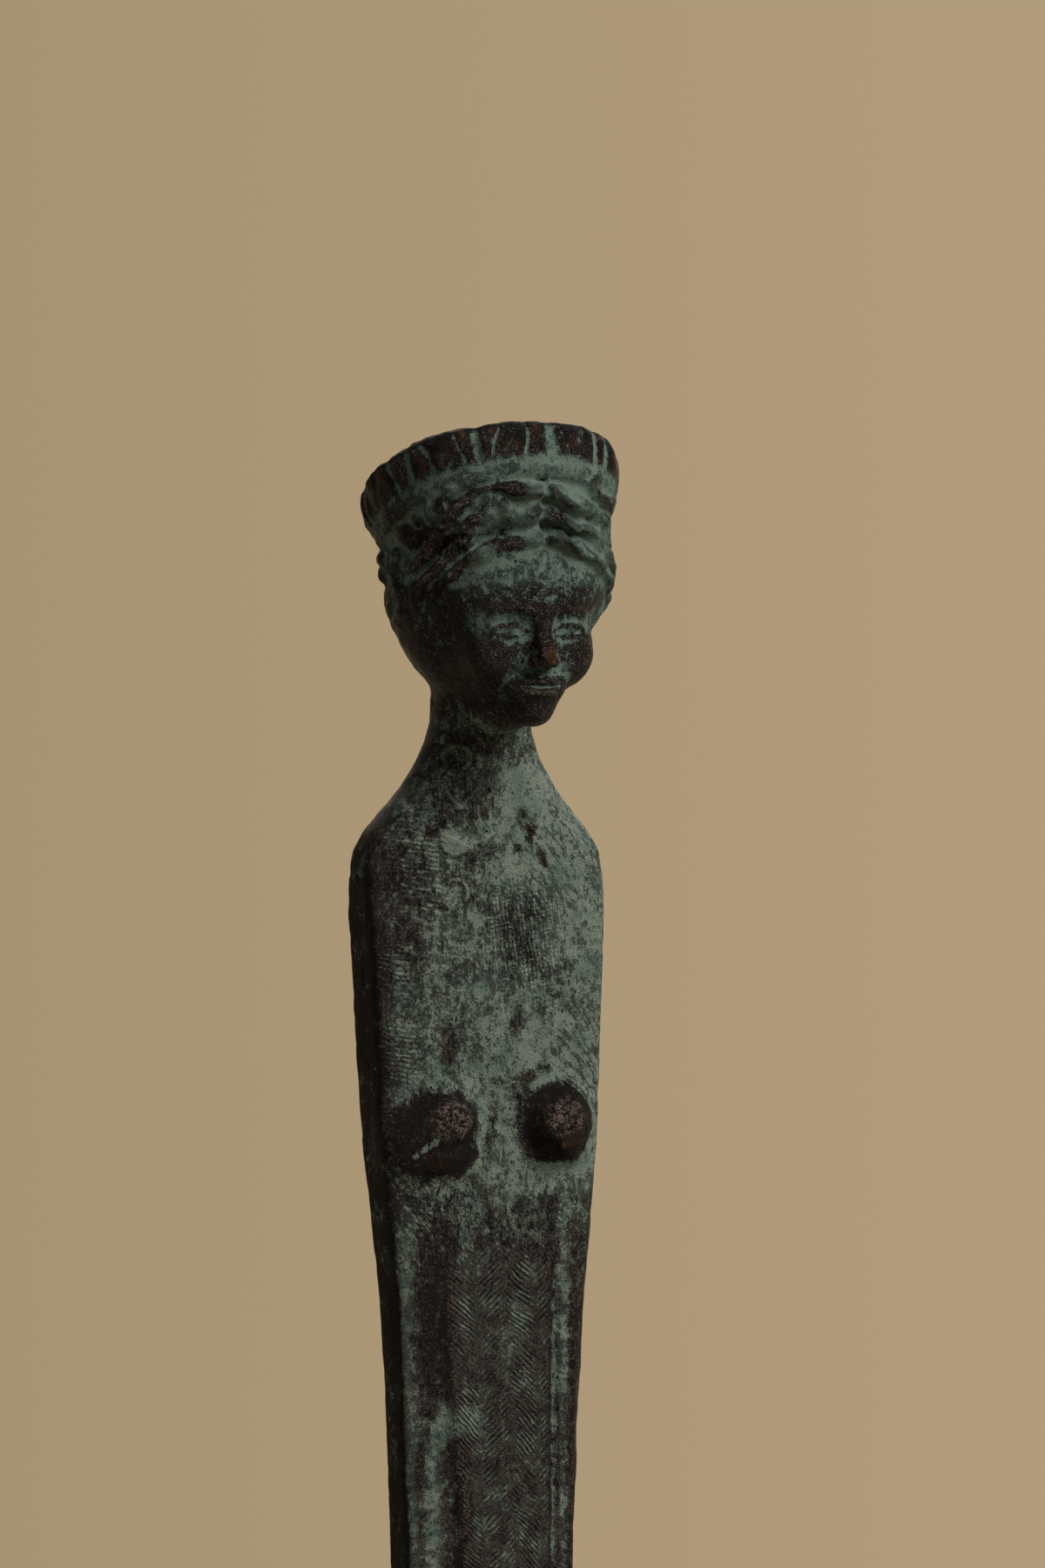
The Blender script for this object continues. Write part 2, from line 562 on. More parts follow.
def pull(V, turns=2):
    """Moves vertices onto the form."""
    for _ in range(turns):
        x, y, z = V.T
        e = 0.03
        f = form(x, y, z)
        g = np.stack([form(x + e, y, z) - f, form(x, y + e, z) - f, form(x, y, z + e) - f], 1) / e
        n2 = np.maximum((g**2).sum(1), 0.15)
        move = np.clip(f / n2, -0.08, 0.08)
        V = V - g * move[:, None]
    return V


class Net:
    """Neighbours and normals of the quad mesh."""

    def __init__(self, V, Q):
        self.n = len(V)
        e = np.concatenate([Q[:, [0, 1]], Q[:, [1, 2]], Q[:, [2, 3]], Q[:, [3, 0]]])
        self.a = np.concatenate([e[:, 0], e[:, 1]])
        self.b = np.concatenate([e[:, 1], e[:, 0]])
        self.count = np.maximum(np.bincount(self.a, minlength=self.n), 1)
        self.Q = Q

    def mean(self, A):
        if A.ndim == 1:
            return np.bincount(self.a, A[self.b], self.n) / self.count
        return np.stack([np.bincount(self.a, A[self.b, c], self.n) for c in range(A.shape[1])], 1) / self.count[:, None]

    def blur(self, A, times, keep=0.35):
        for _ in range(times):
            A = keep * A + (1 - keep) * self.mean(A)
        return A

    def normals(self, V):
        Q = self.Q
        fn = np.cross(V[Q[:, 2]] - V[Q[:, 0]], V[Q[:, 3]] - V[Q[:, 1]])
        N = np.stack([sum(np.bincount(Q[:, c], fn[:, k], self.n) for c in range(4)) for k in range(3)], 1)
        return N / np.maximum(np.linalg.norm(N, axis=1, keepdims=True), 1e-12)


def largest(V, Q):
    """Keeps the casting itself, without any loose crumb."""
    a, b = Q.ravel(), Q[:, [1, 2, 3, 0]].ravel()
    part = np.arange(len(V))
    while True:
        new, low = part.copy(), np.minimum(part[a], part[b])
        np.minimum.at(new, part[a], low)
        np.minimum.at(new, part[b], low)
        new = new[new]
        new = new[new]
        if (new == part).all():
            break
        part = new
    keep = part == np.bincount(part).argmax()
    number = np.cumsum(keep) - 1
    return V[keep], number[Q[keep[Q[:, 0]]]]


V, Q = largest(*make_mesh())
V = pull(V)
net = Net(V, Q)
N = net.normals(V)
x, y, z = V.T.copy()

# ------------------------------------------------------------------ casting relief
head = smooth(178.5, 181.5, z)
front = smooth(0.25, 0.7, -N[:, 1])
face_zone = smooth(-6.0, -7.5, y) * smooth(180.0, 181.0, z) * smooth(190.8, 190.0, z)
relief = 0.07 * fbm(x, y, z, 3.0, 101, 3) * (1 - 0.7 * face_zone)
relief = relief + 0.045 * fbm(x, y, z, 0.75, 111, 2)
relief = relief + 0.035 * head * fbm(x, y, z, 0.42, 115, 2) * (1 - 0.6 * face_zone)
d1, r1 = cells(x, y, z, 1.5, 121)
pit = np.where(r1 > 0.55, smooth(0.34, 0.08, d1), 0.0) * (1 - 0.8 * face_zone)
relief = relief - 0.085 * pit
on_base = smooth(6.2, 4.6, z)
relief = relief * (1 - 0.4 * on_base)
relief = np.where(z < 0.6, 0.0, relief)


def arc(cx, cz, r, a0, a1, width):
    """Mask of a round wrinkle on the front: centre, radius, and the span in degrees from +X, upwards."""
    dx, dz = x - cx, z - cz
    ang = np.degrees(np.arctan2(dz, dx)) % 360
    mid, half = (a0 + a1) / 2, (a1 - a0) / 2
    off = np.abs((ang - mid + 180) % 360 - 180)
    return bump(np.sqrt(dx * dx + dz * dz) - r, width) * smooth(half + 14, half - 6, off) * front


wrinkle = (
    arc(-2.75, 178.0, 0.75, -70, 200, 0.2)
    + arc(-2.0, 175.1, 2.6, 222, 318, 0.22)
    + arc(-2.95, 172.75, 0.95, 200, 335, 0.2)
    + arc(-3.0, 169.3, 0.85, -40, 130, 0.2)
    + 0.7 * arc(-1.0, 177.2, 5.2, 232, 292, 0.2)
    + 0.7 * arc(-5.2, 167.6, 1.5, 30, 130, 0.2)
    + 0.8 * arc(-1.7, 176.6, 1.9, 190, 250, 0.2)
    + 0.7 * arc(-4.4, 177.8, 3.4, 285, 350, 0.2)
    + 0.6 * arc(8.5, 161.0, 4.6, 130, 185, 0.22)
    + 0.5 * arc(8.9, 160.6, 5.6, 132, 178, 0.2)
)
wrinkle = np.clip(wrinkle, 0, 1)
relief = relief + 0.24 * wrinkle
# shallow upright dents left of the breastbone, and small dents and nicks over the chest
relief = relief - 0.09 * front * bump(x + 3.5, 0.5) * smooth(157.5, 159.5, z) * smooth(163.5, 161.0, z)
relief = relief - 0.07 * front * bump(x + 1.7 + 0.1 * np.sin(z), 0.35) * smooth(160, 163, z) * smooth(171, 168, z)
relief = relief - 0.06 * front * bump(x - 1.5, 1.2) * bump(z - 166.4, 2.2)
V = V + N * relief[:, None]
for step in (0.42, -0.38):  # takes out the lattice's own grain and keeps the shape
    V = V + step * (net.mean(V) - V)
V[:, 2] = np.where(V[:, 2] < 0.25, np.maximum(V[:, 2], 0.0), V[:, 2])
N = net.normals(V)
x, y, z = V.T.copy()

# ------------------------------------------------------------------ patina masks, one value a vertex
near = net.blur(V, 3)
mid = net.blur(V, 16)
hollow_s = np.clip(((near - V) * N).sum(1) / 0.035, -1.5, 1.5)
hollow_m = np.clip(((mid - V) * N).sum(1) / 0.16, -1.5, 1.5)
hollow_s, hollow_m = net.blur(hollow_s, 1), net.blur(hollow_m, 2)


def spot(cx, cz, rx, rz, turn=0.0):
    """Soft oval mark on the front, turned by some degrees."""
    c, q = math.cos(math.radians(turn)), math.sin(math.radians(turn))
    dx, dz = x - cx, z - cz
    return np.exp(-(((dx * c + dz * q) / rx) ** 4 + ((dz * c - dx * q) / rz) ** 4) * 0.7) * front


front = smooth(0.03, 0.38, -N[:, 1])
side_face = smooth(0.78, 0.96, np.abs(N[:, 0]))
torso = smooth(179.5, 177.5, z) * smooth(5.6, 6.4, z)
crown_r, crown_h, crown_turn = crown_frame(x, y, z)
phi_h, t_h, s_h = hair_field(x, y, z)
on_crown = smooth(-0.35, 0.0, crown_h) * smooth(6.9, 7.3, crown_r)
in_dish = smooth(0.4, 0.9, crown_h) * smooth(7.3, 7.0, crown_r) * smooth(3.4, 2.8, crown_h)
on_hair = smooth(-0.05, 0.08, t_h) * smooth(0.1, -0.25, crown_h) * (z > 180)
on_face = smooth(180.6, 181.4, z) * (1 - on_hair) * smooth(-2.5, -4.5, y) * smooth(194, 193.4, z) * (1 - on_crown)

green = np.full(len(V), 0.42)
# chest
chest = front * smooth(148, 152, z) * smooth(179.5, 177.0, z)
g = mix(0.63, 1.04, smooth(-1.2, 1.6, x + 0.05 * (z - 170)))
g = mix(g, 0.60, smooth(168.5, 171.5, z) * smooth(0.4, -1.2, x))
g = mix(g, 0.80, spot(0.2, 161.5, 1.6, 5.0))
g = mix(g, 0.86, spot(-1.4, 156.2, 1.2, 2.2) * 0.7)
g = mix(g, 0.62, spot(4.4, 163.2, 3.4, 2.0) * 0.6)
g = mix(g, 0.50, spot(1.7, 166.5, 1.9, 2.9))
g = mix(g, 0.70, spot(-5.0, 157.4, 1.6, 1.2, 20))
g = mix(g, 0.36, spot(-6.9, 169.0, 1.5, 4.5))
g = mix(g, -0.1, spot(-3.5, 159.3, 0.42, 1.2))
g = mix(g, 0.25, spot(1.4, 161.0, 0.35, 0.9))
g = mix(g, 0.05, spot(2.4, 172.9, 0.28, 0.75, -15) + spot(3.3, 171.4, 0.22, 0.65, 8) + spot(1.5, 172.0, 0.2, 0.45, 30))
g = mix(g, 0.9, spot(-6.3, 175.1, 1.5, 0.22, 45) * 0.8)
g = mix(g, 0.25, spot(2.2, 157.2, 0.7, 0.5, 30) + spot(3.3, 157.9, 0.5, 0.4))
g = mix(g, 0.2, spot(-2.3, 176.2, 1.7, 2.2) * 0.6)
g = mix(g, 0.2, spot(-2.1, 171.2, 0.6, 1.6, -25) * 0.7 + spot(1.9, 174.0, 0.3, 0.8, 10) * 0.7)
g = mix(g, 0.3, smooth(-6.6, -8.2, x - middle_x(z) + 0.5 * noise(x, y, z, 1.7, 239)))
green = mix(green, g, chest)
# breasts: worn tips, dark flanks, green in the hollow under and between them
tip_l = np.sqrt(((x + 3.75) / 1.8) ** 2 + ((z - 154.8) / 1.6) ** 2)
tip_r = np.sqrt(((x - 4.15) / 1.45) ** 2 + ((z - 155.0) / 1.5) ** 2)
ragged = 0.35 * fbm(x, y, z, 1.2, 211, 3)
out_l = smooth(2.45, 1.55, ragged + np.sqrt(((x + 4.5) / 1.6) ** 2 + ((z - 153.6) / 1.45) ** 2)) * smooth(-2.55, -3.0, y)
out_r = smooth(2.35, 1.5, ragged + np.sqrt(((x - 4.2) / 1.45) ** 2 + ((z - 154.2) / 1.55) ** 2)) * smooth(-2.55, -3.0, y)
flank = np.clip(out_l + out_r, 0, 1) * front
green = mix(green - 0.15 * hollow_m * (np.abs(z - 154) < 4.5), -0.14, flank)
green = mix(green, 0.48, spot(-5.4, 152.9, 1.5, 0.3, 37) * 0.9)
green = mix(green, 0.85, spot(3.6, 151.5, 1.8, 0.4, 4))
green = mix(green, 0.8, spot(0.1, 153.2, 1.2, 3.0))
green = mix(green, 0.08, spot(1.95, 154.3, 0.55, 2.4, 8) * 0.9 + spot(-0.35, 154.0, 0.25, 1.5, -12) * 0.8)
worn = np.clip(smooth(1.15, 0.6, tip_l) + smooth(1.15, 0.6, tip_r), 0, 1) * smooth(-3.5, -4.2, y)
rust = 0.16 * smooth(1.5, 0.5, np.sqrt(((x + 4.4) / 1.7) ** 2 + ((z - 152.0) / 0.6) ** 2)) * smooth(-3.0, -3.3, y)
rust = rust + 0.4 * smooth(1.3, 0.5, np.sqrt(((x - 4.8) / 0.9) ** 2 + ((z - 153.3) / 0.6) ** 2)) * smooth(-3.0, -3.5, y)
# drapery: dark ridges at the folds, pale strips outside them
fl, fr = fold_left(z), fold_right(z)
drape = front * smooth(150.5, 147.5, z) * smooth(6.0, 7.0, z)
g = np.full(len(V), 0.38)
g = mix(g, 0.56, smooth(146.0, 149.0, z))
low = smooth(139.5, 133.0, z)  # the left strip divides in two on the way down
wander = x + 0.35 * noise(x, y, z, 4.0, 227)
g = mix(g, -0.04, smooth(0.5, -0.5, wander - mix(-2.9, -1.9, low)) * smooth(149, 146, z))
g = mix(g, 0.82, bump(wander - mix(-6.05, -5.5, low), mix(1.0, 0.6, low)) * smooth(151, 147, z))
g = mix(g, 0.76, bump(wander + 3.85, 0.85) * low)
g = mix(g, 0.74, spot(-2.15, 135.2, 1.25, 0.85, 20))
g = mix(g, 0.16, smooth(-7.0, -7.6, x + 0.9 * low + 0.3 * noise(x, y, z, 1.7, 239)))
g = mix(g, 0.12, bump(x - fr + 0.1, 0.35))
g = mix(g, mix(0.7, 0.5, low), bump(x - (fr + 0.8), 0.42))
g = mix(g, 0.2, smooth(fr + 1.2, fr + 1.7, x) * smooth(146, 140, z))
g = g - 0.65 * 0.5 * hollow_m
green = mix(green, g, drape)
strips = drape * np.clip(smooth(-2.0, -3.0, x) * smooth(147, 143, z) + bump(x - (fr + 0.8), 0.7), 0, 1)
# the sides are dark, the back mottled
green = mix(green, 0.25 + 0.24 * noise(x, y, z, 3.2, 215) + 0.26 * noise(x, y, z, 1.2, 241), side_face * torso)
back = smooth(0.3, 0.7, N[:, 1]) * torso
green = mix(green, 0.46 + 0.12 * noise(x, y, z, 14, 203), back)
# neck
on_neck = smooth(176.5, 178.5, z) * smooth(183.0, 181.5, z) * (1 - on_face)
green = mix(green, mix(0.47, 0.64, smooth(-1.5, 2.2, x)) * mix(1, 0.55, smooth(180.0, 181.6, z)), on_neck)
# head
green = mix(green, 0.42 + 0.16 * noise(x, y, z, 2.4, 205), on_face)
green = mix(green, 0.2 + 0.12 * noise(x, y, z, 1.2, 217), on_face * smooth(2.0, 3.2, np.abs(x)) * smooth(186.4, 185.0, z) * smooth(181, 182, z))
green = mix(green, 0.68, on_face * smooth(188.4, 189.2, z))
green = mix(green, 0.15, on_face * bump(z - 187.6 - 0.25 * bump(np.abs(x) - 2.1, 1.2), 0.35) * smooth(4.6, 3.8, np.abs(x)))
green = mix(green, 0.54, on_face * bump(np.abs(x) - 2.08, 1.3) * bump(z - 186.1, 0.8))
green = mix(green, 0.1, on_face * smooth(182.6, 181.6, z))
nose = smooth(1.2, 0.4, np.sqrt(((x - 0.15) / 0.6) ** 2 + ((z - 184.45) / 0.62) ** 2)) * smooth(-9.8, -10.3, y)
green = mix(green, 0.1, smooth(1.3, 0.6, np.sqrt((x / 0.9) ** 2 + ((z - 185.0) / 2.0) ** 2)) * smooth(-9.2, -9.7, y))
g = mix(0.54, 0.38, smooth(0.3, 1.3, phi_h)) + np.where(x < 0, -0.14, 0.46) * smooth(0.15, 0.8, phi_h)
g = g + 0.16 * np.cos(2 * np.pi * (s_h - 0.08)) + 0.55 * noise(x, y, z, 1.7, 213) + 0.2 * noise(x, y, z, 0.7, 231) - 0.15 * hollow_m
green = mix(green, g, on_hair)
green = mix(green, 0.8, on_hair * bump(x - 0.2, 0.3) * smooth(0.9, 0.4, phi_h))
flute = flute_mask(crown_turn, crown_h) * smooth(1.0, 1.6, crown_h)
g = mix(0.82 + 0.26 * noise(x, y, z, 1.6, 221), 0.08 + 0.14 * noise(x, y, z, 1.2, 219), smooth(1.1, 1.7, crown_h))
g = mix(g, 0.74 + 0.42 * noise(x, y, z, 1.1, 237), np.clip(1.2 * flute, 0, 1)) - 0.15 * hollow_m
g = mix(g, 0.1, smooth(3.2, 3.8, crown_h) * 0.8)
g = g - 0.22 * smooth(-0.7, -1.3, crown_turn) * (crown_turn < 0)
green = mix(green, g, on_crown)
green = mix(green, 0.6, in_dish)
# base
plinth = smooth(6.4, 5.4, z)
green = mix(green, 0.52 + 0.15 * noise(x, y, z, 9, 207), plinth)
feet = smooth(5.2, 5.8, z) * smooth(9.5, 7.5, z) * front
green = mix(green, 0.36 + 0.2 * noise(x, y, z, 1.6, 225), feet)
edge = smooth(-0.5, -1.2, hollow_m) * smooth(-0.35, 0.35, noise(x, y, z, 3.5, 223))
worn = np.clip(worn + 0.25 * edge * plinth + 0.35 * feet * edge, 0, 1)
glint = on_crown * smooth(0.18, 0.5, noise(x, y, z, 0.9, 229)) * smooth(1.4, 2.0, crown_h) * (1 - flute)
glow = np.clip(nose + 0.75 * rust + 0.45 * glint, 0, 1)
# file strokes
herring = drape * smooth(147.0, 145.0, z) * smooth(fl + 0.5, fl + 1.0, x) * smooth(fr - 0.1, fr - 0.5, x) * smooth(60, 110, z)
hatch = spot(1.8, 166.3, 2.4, 3.2)
rub = spot(-7.2, 164.3, 1.0, 1.4) + spot(-6.9, 158.8, 1.4, 1.9) + 0.7 * spot(-5.5, 171.0, 2.0, 3.0) + 0.5 * spot(-5.3, 149.2, 1.5, 1.5)
shade = smooth(0.3, 1.2, phi_h) * (x < 0) * on_hair
line = wrinkle**1.6
green = green - 0.3 * np.clip(net.blur(wrinkle, 10) * 3, 0, 1) * (1 - line)
masks = {
    "green": green,
    "line": line,
    "worn": worn,
    "glow": glow,
    "sooty": np.clip(side_face * torso * smooth(0.2, -0.2, x) + 0.5 * drape * np.clip(0.5 - 2 * green, 0, 1) + 0.8 * flank * (1 - worn) + on_crown * (smooth(3.0, 3.5, crown_h) + 0.8 * smooth(1.3, 1.8, crown_h) * smooth(-0.15, 0.35, noise(x, y, z, 1.1, 235))), 0, 1),
    "herring": herring,
    "hatch": hatch,
    "rub": np.clip(rub, 0, 1),
    "streak": np.clip(spot(6.4, 157.9, 2.3, 3.4) + 0.7 * spot(4.6, 171.0, 2.6, 3.6) + 0.7 * spot(-6.0, 149.5, 1.8, 2.6), 0, 1),
    "calm": np.clip(smooth(180.5, 182.0, z) + 0.85 * strips, 0, 1),
    "head": smooth(180.5, 182.0, z),
    "hollow_s": hollow_s * 0.5 + 0.5,
    "hollow_m": hollow_m * 0.5 + 0.5,
}

print("figurine vertices", len(V), "quads", len(Q))


# ------------------------------------------------------------------ mesh object
def build_object(name, V, Q, masks):
    me = bpy.data.meshes.new(name)
    me.vertices.add(len(V))
    me.vertices.foreach_set("co", (V * 0.001).astype(np.float32).ravel())
    me.loops.add(len(Q) * 4)
    me.loops.foreach_set("vertex_index", Q.astype(np.int32).ravel())
    me.polygons.add(len(Q))
    me.polygons.foreach_set("loop_start", (np.arange(len(Q)) * 4).astype(np.int32))
    me.polygons.foreach_set("use_smooth", np.ones(len(Q), bool))
    me.update(calc_edges=True)
    for key, val in masks.items():
        at = me.attributes.new(key, "FLOAT", "POINT")
        at.data.foreach_set("value", np.asarray(val, np.float32))
    me.validate()
    ob = bpy.data.objects.new(name, me)
    bpy.context.collection.objects.link(ob)
    return ob


def thin(ob, most):
    """Drops triangles where the surface is nearly flat, down to `most` of them."""
    have = 2 * len(ob.data.polygons)
    if have > most:
        mod = ob.modifiers.new("thin", "DECIMATE")
        mod.ratio = most / have
        graph = bpy.context.evaluated_depsgraph_get()
        me = bpy.data.meshes.new_from_object(ob.evaluated_get(graph), preserve_all_data_layers=True, depsgraph=graph)
        ob.modifiers.clear()
        old, ob.data = ob.data, me
        bpy.data.meshes.remove(old)
        me.name = ob.name
        me.polygons.foreach_set("use_smooth", np.ones(len(me.polygons), bool))


figurine = build_object("bronze_figurine", V, Q, masks)
thin(figurine, 190000)
print("triangles", sum(len(f.vertices) - 2 for f in figurine.data.polygons), [a.name for a in figurine.data.attributes])


# ------------------------------------------------------------------ material
class Graph:
    """Short names for making and linking shader nodes."""

    def __init__(self, tree):
        self.tree = tree
        tree.nodes.clear()

    def put(self, socket, value):
        if isinstance(value, bpy.types.NodeSocket):
            self.tree.links.new(value, socket)
        elif value is not None:
            if isinstance(value, (tuple, list)) and len(value) == 3 and len(socket.default_value) == 4:
                value = (*value, 1)
            socket.default_value = value

    def node(self, kind, **given):
        n = self.tree.nodes.new("ShaderNode" + kind)
        for key, value in given.items():
            setattr(n, key, value)
        return n

    def math(self, op, a, b=None, c=None, clamp=False):
        n = self.node("Math", operation=op, use_clamp=clamp)
        for i, v in enumerate((a, b, c)):
            self.put(n.inputs[i], v)
        return n.outputs[0]

    def sum(self, *terms):
        """Adds terms, each a socket, a number, or a (socket, factor) pair."""
        total = None
        for t in terms:
            if isinstance(t, tuple):
                total = self.math("MULTIPLY_ADD", t[0], t[1], 0.0 if total is None else total)
            else:
                total = t if total is None else self.math("ADD", total, t)
        return total

    def step(self, v, a, b):
        n = self.node("MapRange", interpolation_type="SMOOTHSTEP")
        self.put(n.inputs["Value"], v)
        n.inputs["From Min"].default_value, n.inputs["From Max"].default_value = a, b
        return n.outputs["Result"]

    def vec(self, op, a, b=None, scale=None):
        n = self.node("VectorMath", operation=op)
        self.put(n.inputs[0], a)
        self.put(n.inputs[1], b)
        if scale is not None:
            n.inputs["Scale"].default_value = scale
        return n.outputs["Value" if op in ("DOT_PRODUCT", "LENGTH") else "Vector"]

    def noise(self, p, scale, detail=2.0, rough=0.5, offset=(0, 0, 0)):
        n = self.node("TexNoise", noise_dimensions="3D")
        self.put(n.inputs["Vector"], self.vec("ADD", p, offset))
        n.inputs["Scale"].default_value = scale
        n.inputs["Detail"].default_value = detail
        n.inputs["Roughness"].default_value = rough
        return n.outputs["Fac"]

    def mixc(self, f, a, b, blend="MIX"):
        n = self.node("Mix", data_type="RGBA", blend_type=blend)
        self.put(n.inputs[0], f)
        self.put(n.inputs[6], a)
        self.put(n.inputs[7], b)
        return n.outputs[2]

    def mixf(self, f, a, b):
        n = self.node("Mix", data_type="FLOAT")
        self.put(n.inputs[0], f)
        self.put(n.inputs[2], a)
        self.put(n.inputs[3], b)
        return n.outputs[0]

    def attr(self, name):
        return self.node("Attribute", attribute_name=name).outputs["Fac"]


def patinated_bronze():
    mat = bpy.data.materials.new("patinated_bronze")
    mat.use_nodes = True
    g = Graph(mat.node_tree)
    out = g.node("OutputMaterial")
    bsdf = g.node("BsdfPrincipled")
    g.put(out.inputs["Surface"], bsdf.outputs[0])
    P = g.vec("SCALE", g.node("TexCoord").outputs["Object"], scale=1000.0)  # millimetres
    xyz = g.node("SeparateXYZ")
    g.put(xyz.inputs[0], P)
    X, Y, Z = xyz.outputs
    green, worn, glow = g.attr("green"), g.attr("worn"), g.attr("glow")
    hs, hm = g.attr("hollow_s"), g.attr("hollow_m")

    patch = g.noise(P, 0.6, 3, 0.6, (3.1, 7.7, 1.9))
    medium = g.noise(P, 2.3, 3, 0.65, (11.0, 2.0, 5.0))
    fine = g.noise(P, 7.5, 3, 0.7, (1.0, 12.0, 4.0))
    grain = g.noise(P, 13.0, 2, 0.6, (7.0, 3.0, 9.0))
    drawn = g.noise(g.vec("MULTIPLY", P, (4.6, 4.6, 0.9)), 1.0, 3, 0.65, (2.0, 9.0, 6.0))

    # file strokes: a zigzag of short slanting cuts, a crossed patch, and level rubs
    bend = g.noise(P, 0.2, 2, 0.4, (5.0, 5.0, 5.0))
    zig = g.math("PINGPONG", g.sum(X, (bend, 1.8), (Z, 0.05), -2.7), 2.0)
    row = g.math("MULTIPLY", g.step(zig, 0.02, 0.35), g.step(zig, 1.98, 1.65))
    phase = g.sum((Z, 1 / 0.39), (zig, -2.3), (bend, 2.0), (medium, 0.6))
    cut = g.math("SINE", g.math("MULTIPLY", phase, 2 * math.pi))
    broken = g.step(g.noise(g.vec("MULTIPLY", P, (1.1, 1.1, 2.2)), 1.0, 2, 0.6, (8.0, 1.0, 3.0)), 0.38, 0.56)
    stretch = g.math("MULTIPLY_ADD", g.step(g.noise(P, 0.28, 2, 0.6, (6.0, 6.0, 2.0)), 0.38, 0.56), 0.65, 0.35)
    broken = g.math("MULTIPLY", broken, stretch)
    herring = g.math("MULTIPLY", g.math("MULTIPLY", cut, row), broken)
    cross_a = g.math("MULTIPLY", g.math("SINE", g.sum((X, 22.0), (Z, 3.0), (patch, 8.0))), g.step(drawn, 0.42, 0.62))
    cross_b = g.math("MULTIPLY", g.math("SINE", g.sum((Z, 21.0), (X, -4.0), (patch, 9.0))), g.step(medium, 0.44, 0.64))
    hatch = g.math("MULTIPLY", g.math("ADD", cross_a, cross_b), g.attr("hatch"))
    level = g.math("SINE", g.sum((Z, 19.0), (X, 3.0), (patch, 13.0)))
    rub = g.math("MULTIPLY", g.math("MULTIPLY", level, g.step(medium, 0.4, 0.62)), g.attr("rub"))
    turned = g.node("VectorRotate", rotation_type="Y_AXIS")
    g.put(turned.inputs["Vector"], P)
    turned.inputs["Angle"].default_value = math.radians(40)
    slant = g.noise(g.vec("MULTIPLY", turned.outputs[0], (5.0, 5.0, 0.8)), 1.0, 2, 0.6, (4.0, 8.0, 2.0))

    # small sharp pits, here and there
    pits = g.node("TexVoronoi", feature="F1")
    g.put(pits.inputs["Vector"], P)
    pits.inputs["Scale"].default_value = 1.7
    tag = g.node("SeparateXYZ")
    g.put(tag.inputs[0], pits.outputs["Color"])
    size = g.math("MULTIPLY_ADD", tag.outputs[0], 0.42, -0.17)
    pit = g.step(g.sum((pits.outputs["Distance"], 1.0), (fine, 0.25), (size, -1.0), -0.125), 0.06, -0.02)

    # dark nicks, drawn out along the body, in loose groups
    nick = g.noise(g.vec("MULTIPLY", P, (3.4, 3.4, 1.25)), 1.0, 2, 0.55, (14.0, 3.0, 8.0))
    nick = g.math("MULTIPLY", g.step(nick, 0.6, 0.67), g.step(g.noise(P, 0.42, 1, 0.5, (1.0, 9.0, 9.0)), 0.44, 0.58))

    # how far verdigris covers each point
    terms = [(hs, 0.8), (hm, 0.65), (patch, 1.1), (medium, 1.35), (fine, 1.5), (grain, 0.5), (drawn, 0.9), (slant, 0.6)]
    line = g.attr("line")
    cover = g.sum(green, *terms, (hatch, 0.16), (rub, 0.3), (line, 0.75), (pit, -0.45), (nick, -0.95), -0.5 * sum(t[1] for t in terms))
    cover = g.math("MULTIPLY_ADD", g.math("SUBTRACT", slant, 0.55), g.math("MULTIPLY", g.attr("streak"), 3.0), cover)
    # on the head and in the drapery's hollow strips it lies in broader, smoother bands
    head = g.attr("head")
    terms = [(hs, 0.9), (hm, 0.5), (patch, 0.7), (medium, 1.5), (fine, 1.1), (grain, 0.35), (drawn, 0.3)]
    cover = g.mixf(g.attr("calm"), cover, g.sum(green, *terms, (pit, -0.35), -0.5 * sum(t[1] for t in terms)))
    filed = g.sum(green, (herring, 0.24), (g.math("MULTIPLY", row, broken), 0.08), (patch, 1.0), (medium, 0.8), (fine, 0.7), (hs, 0.5), -0.5 * 3.0)
    cover = g.mixf(g.attr("herring"), cover, filed)
    strokes = g.sum(g.math("MULTIPLY", herring, g.attr("herring")), hatch, rub)
    mask = g.step(cover, 0.36, 0.70)
    mask = g.math("MAXIMUM", mask, g.math("MULTIPLY", g.step(line, 0.25, 0.7), 0.85))
    mask = g.math("MAXIMUM", mask, g.math("MULTIPLY", g.step(green, 0.45, 0.95), 0.62))
    thick = g.step(cover, 0.35, 1.15)

    # verdigris: grey-green, paler where it is thick, bluer in the hollows
    tone = g.sum((fine, 1.2), (medium, 0.8), (grain, 1.0), (thick, 0.75), (patch, 0.5), (line, 0.4), -1.72)
    verdigris = g.mixc(g.step(tone, 0.0, 1.0), (0.050, 0.070, 0.058), (0.188, 0.224, 0.184))
    deep = g.math("MAXIMUM", g.math("MULTIPLY", g.step(hm, 0.55, 0.95), 0.6), g.math("MULTIPLY", head, 0.5))
    deep = g.math("MAXIMUM", deep, g.math("MULTIPLY", g.step(g.noise(P, 0.5, 3, 0.65, (4.0, 4.0, 11.0)), 0.5, 0.68), 0.6))
    verdigris = g.mixc(deep, verdigris, (0.080, 0.130, 0.108))
    # bare bronze: near black, with brown specks, and brighter where it is rubbed
    brown = g.sum((medium, 0.8), (grain, 1.2), (fine, 2.6), (drawn, 0.4), (hs, -0.4), -1.92)
    filing = g.math("MULTIPLY", g.attr("herring"), g.math("MULTIPLY_ADD", herring, 0.27, 0.14))
    sooty = g.attr("sooty")
    specks = g.step(g.sum(brown, filing, (sooty, -0.26)), 0.46, 1.12)
    metal = g.mixc(specks, (0.0036, 0.0027, 0.0024), (0.15, 0.115, 0.098))
